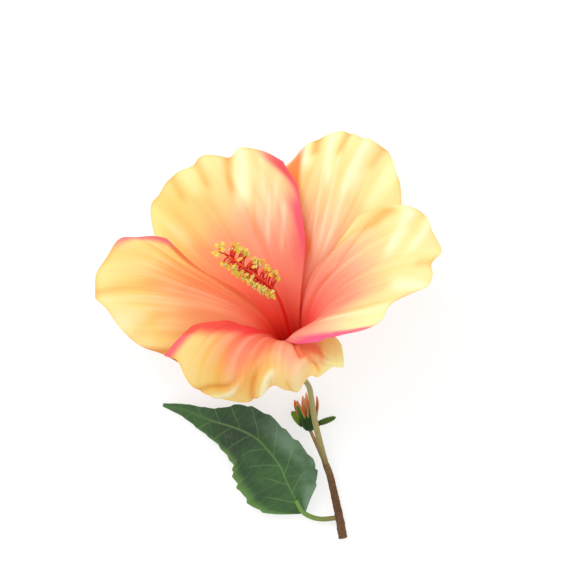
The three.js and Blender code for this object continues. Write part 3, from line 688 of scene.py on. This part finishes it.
heading = np.array([math.cos(BLOOM_HEADING), math.sin(BLOOM_HEADING), 0])
bloom_side = np.array([-heading[1], heading[0], 0])
bloom_uphill = math.cos(BLOOM_TILT) * heading - math.sin(BLOOM_TILT) * UP
bloom_axis = math.sin(BLOOM_TILT) * heading + math.cos(BLOOM_TILT) * UP
bloom_base = THROAT - CLAW_LENGTH * bloom_axis


def petal_relief(petal, u, v, s, across):
    """Offset of a petal's surface to its inner side."""

    def margins(key, strength):
        return np.where(v < 0, *petal[key]) * strength * grown(key, s)

    margin = smooth(np.abs(v), 0, MARGIN)
    edge, lift = margins("edge", margin), margins("lift", margin)
    twist = -across * math.tan(math.radians(petal["twist"])) * grown("twist", s)
    curl = margins("curl", np.clip((np.abs(v) - CURLED) / (1 - CURLED), 0, 1) ** 2)
    ruffle = through(petal["ruffle"], (v + 1) / 2) * u**RUFFLE_GROWTH
    side_wave = np.sin(2 * math.pi * SIDE_FOLDS * u) * grown("side_folds", s)
    return edge + lift + twist + curl + ruffle + SIDE_FOLD_HEIGHT * np.abs(v) ** 5 * side_wave


def petal_detail(name, u, v, half):
    """Height of a petal's folds, waves and fine lines, and their painted highlight and painted
    shade.
    """
    seed = len(name) + int(PETALS[name]["claw"])
    broad = waves(seed, 8, 1.1 * v, 1.6 * u) * smooth(u, 0.15, 0.5)
    ripple = waves(seed + 2, 8, 5.5 * v, 1.5 * u) * u**6
    lines = waves(seed + 4, 14, 14 * v, 0.7 * u) * smooth(u, 0.3, 0.55)
    lines = lines * (1 - 0.7 * smooth(u, 0.75, 0.95))
    height = 0.45 * broad + 0.3 * ripple + 0.05 * lines
    # tone is painted light: above 0 a painted highlight, below 0 painted shade, following the
    # relief.
    tone = 0.1 * broad + 0.16 * ripple + 0.12 * lines
    for start, first, end, last, fold, half_width, painted_light in FOLDS[name]:
        place = (u - start) / (end - start)
        middle = lerp(first, last, place) + 0.012 * waves(seed + 3, 4, 2 * u)
        far = (v - middle) * half / half_width
        strength = smooth(place, 0, 0.35) * (1 - smooth(place, 0.85, 1.15))
        height += fold * strength * ridge(far, 1)
        tone += painted_light * strength * ridge(far, 1.2)
    # The rim's very edge is darkened a little more with painted shade.
    return height, tone - 0.3 * smooth(u, 0.975, 1.0)


def petal_middle(name, u, v):
    """Middle surface of a petal on a grid, its half width and its tone of painted light."""
    petal = PETALS[name]
    length = petal["length"]
    s = u * length * through(petal["rim"], (v + 1) / 2)
    share = s / length
    over, under = (through([CLAW_HALF_WIDTH, *petal[side]], share) for side in ("over", "under"))
    half = lerp(CLAW_HALF_WIDTH, np.where(v < 0, over, under), grown("fan", s))
    flare, gone = SPREAD.get(name, (0, 0))
    flare = flare * smooth(-v, 0.3, 1) * smooth(u, 0.35, 0.6)
    half = half + flare * (1 - gone * smooth(u, 0.8, 1))
    across = v * half
    stations = np.linspace(0, 1, 121)
    bends = np.radians(through(petal["bend"], (stations[1:] + stations[:-1]) / 2))
    step = length / (len(stations) - 1)
    runs = [np.cumsum(f(bends) * step) for f in (np.sin, np.cos)]
    gone_out, gone_up = (np.concatenate([[0], run]) for run in runs)
    out = np.interp(share, stations, CLAW_RADIUS + gone_out)
    high = np.interp(share, stations, gone_up)
    bend = np.radians(through(petal["bend"], share))[..., None]
    azimuth = np.radians(lerp(petal["claw"], petal["azimuth"], grown("turn", s)))[..., None]
    outward = bloom_uphill * np.cos(azimuth) + bloom_side * np.sin(azimuth)
    sideways = -bloom_uphill * np.sin(azimuth) + bloom_side * np.cos(azimuth)
    inward = bloom_axis * np.sin(bend) - outward * np.cos(bend)
    lean = np.cos(bend[..., 0])
    roundness = lean * np.where(lean > 0, lerp(1, petal["cup"], grown("cup", s)), OUTER_CUP) / out
    roundness = np.where(np.abs(roundness) < 1e-6, 1e-6, roundness)
    turn = roundness * across
    height, tone = petal_detail(name, u, v, half)
    rise = (1 - np.cos(turn)) / roundness + petal_relief(petal, u, v, s, across) + height
    points = bloom_base + outward * out[..., None] + bloom_axis * high[..., None]
    points += sideways * (np.sin(turn) / roundness)[..., None] + inward * rise[..., None]
    above = points[..., 2] - LOWEST_MIDDLE
    points[..., 2] = LOWEST_MIDDLE + (above + np.sqrt(above**2 + LANDING**2)) / 2
    return points, half, tone


def tint_of(name, u, v, half):
    """Colour and strength of the tinted margins and of the painted shadows laid on the same way."""
    colour = np.zeros((*v.shape, 4)) + linear(MAGENTA)
    amount = np.zeros(v.shape)
    reach = PETALS[name]["length"] * through(PETALS[name]["rim"], (v + 1) / 2)
    for side, widths, softness, start, end, tint, strength in TINTS[name]:
        place = ((u if side else v) - start) / (end - start)
        middle = lerp(*side, place) if isinstance(side, tuple) else side
        inside = np.abs(middle - v) * half if side else (1 - u) * reach
        ragged = 0.25 * softness * waves(len(name), 6, 3 * u, 3 * v)
        ragged = lerp(*widths, np.clip(place, 0, 1)) + ragged
        near = strength * (1 - smooth(inside, ragged, ragged + softness))
        near = near * smooth(place, 0, 0.25) * (1 - smooth(place, 0.8, 1))
        colour = np.where((near > amount)[..., None], linear(tint), colour)
        amount = np.maximum(amount, near)
    return colour, amount


def petals():
    u, v = grid(*PETAL_GRID)
    for name in PETALS:
        middle, half, tone = petal_middle(name, u, v)
        tint, amount = tint_of(name, u, v, half)
        # The folds' painted highlight and painted shade go onto the skin as two values.
        made = thin_solid(
            middle, PETAL_THICKNESS, reach=u, across=v, pale=np.clip(tone, 0, 0.9),
            ochre=np.clip(-tone, 0, 1), tint=tint, tint_amount=amount,
        )
        add_piece(name + "_skin", made, petal_skin(name), "petal", name, uvs=two_sided_uvs(u, v))


# ---- Stamens and style ----


def pollen_skin():
    stops = [
        (0, (255, 204, 60)), (0.3, (255, 238, 100)), (0.6, (255, 250, 150)), (1, (255, 255, 244)),
    ]
    return ramp_skin("pollen_skin", "tone", stops, 0.6, translucent=0.62)


def column_skin():
    stops = [(0, (206, 16, 12)), (0.45, (226, 34, 26)), (1, (255, 104, 60))]
    return ramp_skin("column_skin", "along", stops, 0.45, translucent=0.1)


def anther(centre, random, sphere, grain):
    """Bent clump of pollen grains at a filament's tip."""
    points, faces = sphere
    size = ANTHER_SIZE * (0.85 + 0.3 * random.random())
    turn, _ = np.linalg.qr(random.normal(size=(3, 3)))

    def placed(spots):
        spots = spots * ANTHER_STRETCH * size
        spots = spots + ANTHER_BOW * spots[..., :1] ** 2
        return spots @ turn.T + centre

    core = placed(points * (1 + 0.12 * np.sin(5 * points[:, :1] + 6 * random.random())))
    parts = [(core, faces, {"tone": np.full(len(core), 0.2 + 0.2 * random.random())})]
    grain_points, grain_faces = grain
    for _ in range(GRAINS):
        small = lerp(*GRAIN_RADIUS, random.random())
        tone = np.full(len(grain_points), random.random())
        spot = placed(unit(random.normal(size=3)))
        parts.append((grain_points * small + spot, grain_faces, {"tone": tone}))
    return parts


def stamens():
    random = np.random.default_rng(STAMEN_SEED)
    route = Route(COLUMN_ROUTE)
    column = [tube(route, lambda t, a: lerp(*COLUMN_RADIUS, t), steps=90, sides=20)]
    pollen = []
    sphere, grain = ball(2), ball(1)
    for k in range(STAMENS):
        place = lerp(*STAMEN_ZONE, (k + 0.5) / STAMENS)
        root, along = route.at(place), route.along(place)
        side, other = round_about(along)
        middle, spread, filament = UPPER_ROW if random.random() < UPPER_SHARE else LOWER_ROW
        angle = middle + spread * random.normal()
        outward = side * math.cos(angle) + other * math.sin(angle)
        direction = unit(outward + along * 0.3 * random.random())
        length = filament * (0.8 + 0.35 * random.random())
        tip = root + direction * length
        knee = root + direction * length * 0.5 + along * (0.4 + 0.5 * random.random())
        bow = Route([root, knee, tip], 8)
        column.append(tube(bow, lambda t, a: lerp(*FILAMENT_RADIUS, t), steps=6, sides=6))
        pollen.extend(anther(tip + direction * 0.2, random, sphere, grain))
    add_piece("stamen_column", gather(column), column_skin(), "stamen", "staminal_column")
    add_piece("anthers", gather(pollen), pollen_skin(), "stamen")
    return route


def style(route):
    random = np.random.default_rng(STYLE_SEED)
    end, along = route.at(1.0), route.along(0.99)
    fork = end + along * STYLE_FORK
    side, other = round_about(along)
    stalks = [tube(Route([end, fork]), lambda t, a: STYLE_RADIUS, steps=4, sides=10)]
    pads = []
    (pad_points, pad_faces), (grain_points, grain_faces) = ball(3), ball(1)
    for angle in turns(STIGMAS):
        direction = unit(side * math.cos(angle) + other * math.sin(angle) + along * 0.9)
        tip = fork + direction * STIGMA_REACH
        knee = fork + direction * 1.4 + along * 0.3
        bow = Route([fork - along * 0.2, knee, tip], 12)
        stalks.append(tube(bow, lambda t, a: STIGMA_STALK_RADIUS, steps=8, sides=8))
        core = turned_to(pad_points * PAD_SIZE, direction) + tip
        pads.append((core, pad_faces, {"tone": np.full(len(core), 0.3)}))
        spots = unit(random.normal(size=(PAD_GRAINS, 3))) * PAD_SIZE
        for spot in turned_to(spots, direction) + tip:
            tone = np.full(len(grain_points), 0.2 + 0.8 * random.random())
            pads.append((grain_points * PAD_GRAIN_RADIUS + spot, grain_faces, {"tone": tone}))
    add_piece("style_stalks", gather(stalks), column_skin(), "stigma", "style")
    add_piece("stigmas", gather(pads), pollen_skin(), "stigma")


# ---- Calyx, collar and stems ----


def calyx_form(points):
    """Draws the cup's wall down between its lobes, and ribs it."""
    angle = np.arctan2(points[:, 1], points[:, 0])
    above = points[:, 2] - CALYX_LOBE_FOOT
    point = np.abs(np.cos(CALYX_LOBES * angle / 2)) ** 1.3
    lowered = CALYX_LOBE_FOOT + above * lerp(0.12, 1, point)
    rib = 1 - 0.02 * np.cos(10 * CALYX_LOBES * angle / 2) ** 2
    height = np.where(above > 0, lowered, points[:, 2])
    return np.stack([points[:, 0] * rib, points[:, 1] * rib, height], -1)


def calyx():
    points, faces = revolved(CALYX_PROFILE, steps=60, sides=200)
    points = calyx_form(points)
    height = (points[:, 2] - CALYX_FOOT) / CALYX_HEIGHT
    points = bloom_base + turned_to(points, bloom_axis)
    stops = [(0, (60, 92, 40)), (0.5, (74, 122, 48)), (1, (120, 160, 70))]
    skin = ramp_skin("calyx_skin", "height", stops, speckle=0.15, translucent=0.1)
    add_piece("calyx_cup", (points, faces, {"height": height}), skin, "calyx", "calyx")


def collar():
    top = bloom_base + bloom_axis * COLLAR_TOP
    end = lerp(top, np.array(STEM_ROUTE[0]), COLLAR_SHARE)

    def radius(t, a):
        return COLLAR_RADIUS * (1 - 0.1 * np.cos(2 * math.pi * t)) * (1 - 0.02 * np.cos(12 * a))

    ring = tube(Route([top, end]), radius, steps=24, sides=48)
    skin = ramp_skin("collar_skin", "along", [(0, (176, 40, 36)), (1, (206, 62, 52))], 0.45)
    add_piece("collar_ring", ring, skin, "collar", "calyx_collar")


def stem():
    def radius(t, a):
        ridges = 0.025 * np.sin(5 * a + 3 * t) + 0.02 * waves(5, 8, 12 * t, np.sin(a), np.cos(a))
        return STEM_RADIUS * (0.92 + 0.18 * t) * (0.98 + ridges)

    stalk = tube(Route(STEM_ROUTE), radius, steps=160, sides=32)
    stops = [
        (0, (168, 166, 116)), (0.35, (170, 164, 108)), (0.75, (158, 148, 92)), (1, (132, 112, 66)),
    ]
    skin = ramp_skin("stem_skin", "along", stops, 0.45, speckle=0.12)
    add_piece("stem_stalk", stalk, skin, "stem", "stem")


def twig():
    def bark(t, a):
        bumps = 0.05 * waves(9, 10, 30 * t, 2 * np.sin(a), 2 * np.cos(a))
        bumps = bumps + 0.02 * np.sin(9 * a + 5 * t)
        return TWIG_RADIUS * (0.8 + 0.25 * t) * (0.95 + bumps)

    def smooth_bark(t, a):
        bumps = 0.03 * waves(4, 8, 9 * t, np.sin(a), np.cos(a))
        return BUD_STEM_RADIUS * (1 + 0.4 * t) * (1 + bumps)

    wood = tube(Route(TWIG_ROUTE), bark, steps=220, sides=48)
    stops = [
        (0, (128, 104, 62)), (0.2, (112, 80, 48)), (0.6, (100, 68, 42)), (1, (112, 82, 56)),
    ]
    skin = ramp_skin("bark_skin", "along", stops, 0.8, speckle=0.35)
    add_piece("twig_bark", wood, skin, "bark", "twig")
    stalk = tube(Route(BUD_STEM_ROUTE), smooth_bark, steps=80, sides=20)
    stops = [(0, (186, 142, 84)), (0.5, (164, 126, 72)), (1, (128, 92, 54))]
    skin = ramp_skin("bud_stalk_skin", "along", stops, speckle=0.15)
    add_piece("bud_stalk", stalk, skin, "bark")


# ---- Bud ----

bud_axis = unit(BUD_TIP - BUD_BASE)


def on_bud(points):
    return BUD_BASE + turned_to(points.reshape(-1, 3), bud_axis).reshape(points.shape)


def bud_lobe(angle, tip):
    """Pointed green lobe with an orange margin, which leans out to radius tip."""
    u, v = grid(*LOBE_GRID)
    out = lerp(BUD_RADIUS - 0.7, tip, smooth(0.9 * u)) + 0.7 * np.sin(math.pi * u)
    half = BUD_LOBE_HALF_WIDTH * (0.65 + 0.9 * u - 1.35 * u * u) * (1 - 0.7 * smooth(u, 0.8, 1))
    turn = angle + v * half / out
    out = out - 0.35 * v * v * u + 0.12 * ridge(v, 0.15) * (1 - u)
    height = BUD_LOBE_FOOT + BUD_LOBE_LENGTH * u
    middle = on_bud(np.stack([out * np.cos(turn), out * np.sin(turn), height], -1))
    ripe = smooth(np.abs(v), 0.5, 0.9) * smooth(u, 0.05, 0.4) + smooth(u, 0.7, 1.0) + 0.3 * u
    return thin_solid(middle, BUD_LOBE_THICKNESS, ripe=np.clip(ripe, 0, 1))


def bract(foot, tip, half_width, teeth, ripe):
    """Small pointed leaf below the bud's cup."""
    u, v = grid(*BRACT_GRID)
    foot, tip = np.array(foot), np.array(tip)
    side = unit(np.cross(tip - foot, UP))
    half = half_width * (0.35 + 0.65 * np.sin(math.pi * (0.12 + 0.84 * u)))
    half = half * (1 + teeth * np.cos(2 * math.pi * BRACT_TEETH * u))
    half = half * (1 - 0.75 * smooth(u, 0.85, 1))
    middle = lerp(foot, tip, u[..., None]) + side * (v * half)[..., None]
    rib = 0.15 * ridge(v, 0.12)
    middle = middle + UP * (0.5 * v * v + 0.6 * np.sin(math.pi * u) - rib)[..., None]
    return thin_solid(middle, BRACT_THICKNESS, ripe=ripe * smooth(u, 0, 0.5))


def bud():
    cup, faces = revolved(BUD_CUP_PROFILE, steps=40, sides=60)
    parts = [(on_bud(cup), faces, {"ripe": np.zeros(len(cup))})]
    for angle in turns(CALYX_LOBES, 0.3):
        parts.append(bud_lobe(angle, BUD_RADIUS + 1.1 * abs(math.cos(angle))))
    stops = [
        (0, (44, 78, 26)), (0.3, (104, 148, 46)), (0.6, (210, 156, 78)), (1, (240, 132, 76)),
    ]
    skin = ramp_skin("bud_green_skin", "ripe", stops, speckle=0.1, translucent=0.15)
    add_piece("bud_cup", gather(parts), skin, "bud_green", "bud_calyx")
    leaflets = [bract(*leaflet) for leaflet in BUD_BRACTS]
    stops = [(0, (84, 112, 48)), (0.25, (136, 182, 62))]
    skin = ramp_skin("bract_skin", "ripe", stops, speckle=0.1, translucent=0.15)
    add_piece("bud_bracts", gather(leaflets), skin, "bud_green")


def bud_petals():
    def rolled(t, a):
        folds = 1 + 0.14 * np.sin(3 * a + 5 * t) + 0.06 * np.sin(7 * a - 4 * t)
        swell = lerp(0.1, 1, np.sin(math.pi * (0.2 + 0.78 * t)))
        return BUD_PETAL_RADIUS * swell * folds

    def spot(angle, out, high):
        return np.array([out * math.cos(angle), out * math.sin(angle), high])

    parts = []
    t = np.linspace(0, 1, 12)[:, None]
    for k, angle in enumerate(turns(BUD_PETALS)):
        foot, tip = spot(angle, 0.7, 3), spot(angle + 0.5, 0.9, BUD_LENGTH - k)
        middle = lerp(foot, tip, 0.5) * [1.3, 1.3, 1]
        bow = (1 - t) ** 2 * foot + 2 * t * (1 - t) * middle + t * t * tip
        parts.append(tube(Route(on_bud(bow), 12), rolled, steps=60, sides=32))
    n = Nodes("bud_petal_skin")
    inputs = {0: n.object_place(), "Scale": (1.0, 0.15, 1.0)}
    stripes = n.noise(n.add("Mapping", inputs).outputs[0], 700.0, 2.0)
    warm = n.ramp(stripes, [(0.35, (206, 86, 40)), (0.5, (240, 168, 70)), (0.62, (252, 214, 120))])
    stops = [(0.25, (222, 116, 58)), (0.5, (250, 186, 134)), (1, (255, 222, 196))]
    tips = n.ramp(n.value("along"), stops)
    skin = n.finish(n.mix(0.72, warm, tips), 0.5, translucent=0.4)
    add_piece("bud_rolled_petals", gather(parts), skin, "bud_petal", "bud_petals")


# ---- Leaf ----


def leaf_veins(far, out, v):
    """Strength of the midrib, its side veins and their forks, at far along and out from it."""

    def lines(place, spacing, width):
        return ridge(np.abs((place / spacing) % 1 - 0.5) * spacing, width)

    midrib = ridge(out, 0.26 + 0.003 * far) * (1 - 0.7 * smooth(far, 42, 60))
    bowed = far - 0.95 * out + 0.018 * out**2 + np.where(v < 0, 0, VEIN_STAGGER)
    veins = 0.7 * lines(bowed, VEIN_SPACING, 0.22) * (1 - smooth(out, 6, 13))
    forked = far + 0.25 * out + 0.8 * waves(3, 6, far / 9, out / 5)
    forks = 0.16 * lines(forked, FORK_SPACING, 0.2) * smooth(out, 0.5, 2)
    return np.maximum(np.maximum(midrib, veins), forks)


def leaf():
    midrib = Route(LEAF_MIDRIB)
    u, v = grid(*LEAF_GRID)
    half = np.where(v < 0, through(LEAF_LEFT, u), through(LEAF_RIGHT, u))
    bite = (LEAF_TEETH * u + 0.5) % 1
    bite = np.where(bite < TOOTH_CREST, bite / TOOTH_CREST, (1 - bite) / (1 - TOOTH_CREST))
    teeth = 1 + TOOTH_DEPTH * (2 * bite - 1) * smooth(u * 8)
    along, centre = midrib.along(u), midrib.at(u)
    side = unit(np.cross(along, UP))
    out = np.abs(v) * half * teeth
    middle = centre + side * (np.sign(v) * out)[..., None]
    slope = np.where(v < 0, *LEAF_SLOPE)
    wave = np.sin(2 * math.pi * LEAF_WAVES * u + np.where(v < 0, 0, 2)) * smooth(half / 6)
    far = u * midrib.length
    veins = leaf_veins(far, out, v)
    small = 0.3 * waves(12, 10, far / 8, out / 8) * smooth(out, 1, 5) - 0.22 * veins
    height = middle[..., 2] + slope * out + LEAF_WAVE_HEIGHT * v * v * wave + small
    middle[..., 2] = np.maximum(height, LEAF_LOWEST)
    rim = smooth(-v, 0.72, 1.0) * smooth(1 - u, 0.1, 0.5)
    # Where the bluish painted reflection lies: the right half, nearer the leaf's base.
    sheen = smooth(v, 0.15, 0.7) * smooth(0.62 - u, 0, 0.3)
    made = thin_solid(middle, LEAF_THICKNESS, veins=veins, rim=rim, reach=u, sheen=sheen)
    add_piece("leaf_blade", made, leaf_skin(), "leaf", "leaf", uvs=two_sided_uvs(u, v))
    stalk = tube(Route(PETIOLE_ROUTE), lambda t, a: PETIOLE_RADIUS, steps=60, sides=24)
    stops = [(0, (104, 146, 66)), (0.6, (116, 140, 66)), (1, (128, 110, 66))]
    skin = ramp_skin("petiole_skin", "along", stops, 0.45, speckle=0.1)
    add_piece("petiole", stalk, skin, "leaf")


def leaf_skin():
    """Patchy dark green with a light green rim, a bluish painted reflection on one half and light
    green veins.
    """
    n = Nodes("leaf_skin")
    patches = n.noise(n.object_place(), 45.0)
    colour = n.ramp(patches, [(0.35, (30, 62, 24)), (0.5, (42, 80, 34)), (0.65, (56, 98, 44))])
    # Patches where the painted reflection shows.
    reflection_patches = n.ramp(n.noise(n.object_place(), 90.0, 2.0), [(0.35, 0.1), (0.6, 0.75)])
    # Layers: rim, then the bluish painted reflection, then veins.
    layers = [
        ("rim", 0.7, (104, 150, 68)), ("sheen", reflection_patches, (112, 142, 116)),
        ("veins", 0.6, (132, 172, 96)),
    ]
    for key, share, layer in layers:
        colour = n.mix(n.math("MULTIPLY", n.value(key), share), colour, linear(layer))
    tip = n.ramp(n.value("reach"), [(0.7, 0.0), (1.0, 0.5)])
    colour = n.mix(tip, colour, linear((72, 124, 46)))
    pores = n.bump(n.noise(n.object_place(), 1400.0, 2.0), 0.15, 0.0002)
    return n.finish(colour, 0.38, pores, translucent=0.08, specular=0.5)


petals()
style(stamens())
calyx()
collar()
stem()
twig()
bud()
bud_petals()
leaf()

# ---- Stage, light and camera ----

CAMERA_HEIGHT = 1300  # millimetres above the ground
PIXEL = 0.38  # millimetres across one of the picture's pixels, at PIXEL_HEIGHT above the ground
PIXEL_HEIGHT = 25
PICTURE_WIDTH = 570
SENSOR = 36.0
CLIP = (0.1, 20)  # metres, as are the floor's and the softbox's sizes

FLOOR_REACH, FLOOR_HEIGHT = 3.0, -0.0003
FLOOR_WHITE, FLOOR_GLOW, WORLD_GLOW = 0.4, 0.66, 0.93
SOFTBOX_PLACE, SOFTBOX_SIZE, SOFTBOX_POWER = (-0.35, 0.6, 1.0), 0.6, 5.0


def stage():
    mesh = bpy.data.meshes.new("floor")
    square = [(-1, -1), (1, -1), (1, 1), (-1, 1)]
    corners = [(x * FLOOR_REACH, y * FLOOR_REACH, FLOOR_HEIGHT) for x, y in square]
    mesh.from_pydata(corners, [], [(0, 1, 2, 3)])
    white = Nodes("floor_white")
    inputs = {"Base Color": (*[FLOOR_WHITE] * 3, 1), "Roughness": 0.9, "Specular IOR Level": 0.0}
    inputs.update({"Emission Color": (1, 1, 1, 1), "Emission Strength": FLOOR_GLOW})
    paper = white.add("BsdfPrincipled", inputs).outputs[0]
    white.add("OutputMaterial", {"Surface": paper})
    mesh.materials.append(white.material)
    floor = bpy.data.objects.new("floor", mesh)
    bpy.context.scene.collection.objects.link(floor)


def lights():
    world = bpy.data.worlds.new("studio")
    world.use_nodes = True
    background = world.node_tree.nodes["Background"]
    background.inputs["Color"].default_value = (1, 1, 1, 1)
    background.inputs["Strength"].default_value = WORLD_GLOW
    bpy.context.scene.world = world
    lamp = bpy.data.lights.new("softbox", "AREA")
    lamp.shape = "DISK"
    lamp.size = SOFTBOX_SIZE
    lamp.energy = SOFTBOX_POWER
    softbox = bpy.data.objects.new("softbox", lamp)
    softbox.location = SOFTBOX_PLACE
    softbox.rotation_euler = (-softbox.location.normalized()).to_track_quat("-Z", "Y").to_euler()
    bpy.context.scene.collection.objects.link(softbox)


def camera():
    view = bpy.data.cameras.new("camera")
    view.sensor_width = SENSOR
    view.lens = SENSOR * (CAMERA_HEIGHT - PIXEL_HEIGHT) / PIXEL / PICTURE_WIDTH
    view.clip_start, view.clip_end = CLIP
    eye = bpy.data.objects.new("camera", view)
    eye.location = (-BOX_MIDDLE[0] * MM, -BOX_MIDDLE[1] * MM, CAMERA_HEIGHT * MM)
    bpy.context.scene.collection.objects.link(eye)
    bpy.context.scene.camera = eye


stage()
lights()
camera()
bpy.context.scene.view_settings.view_transform = "Standard"
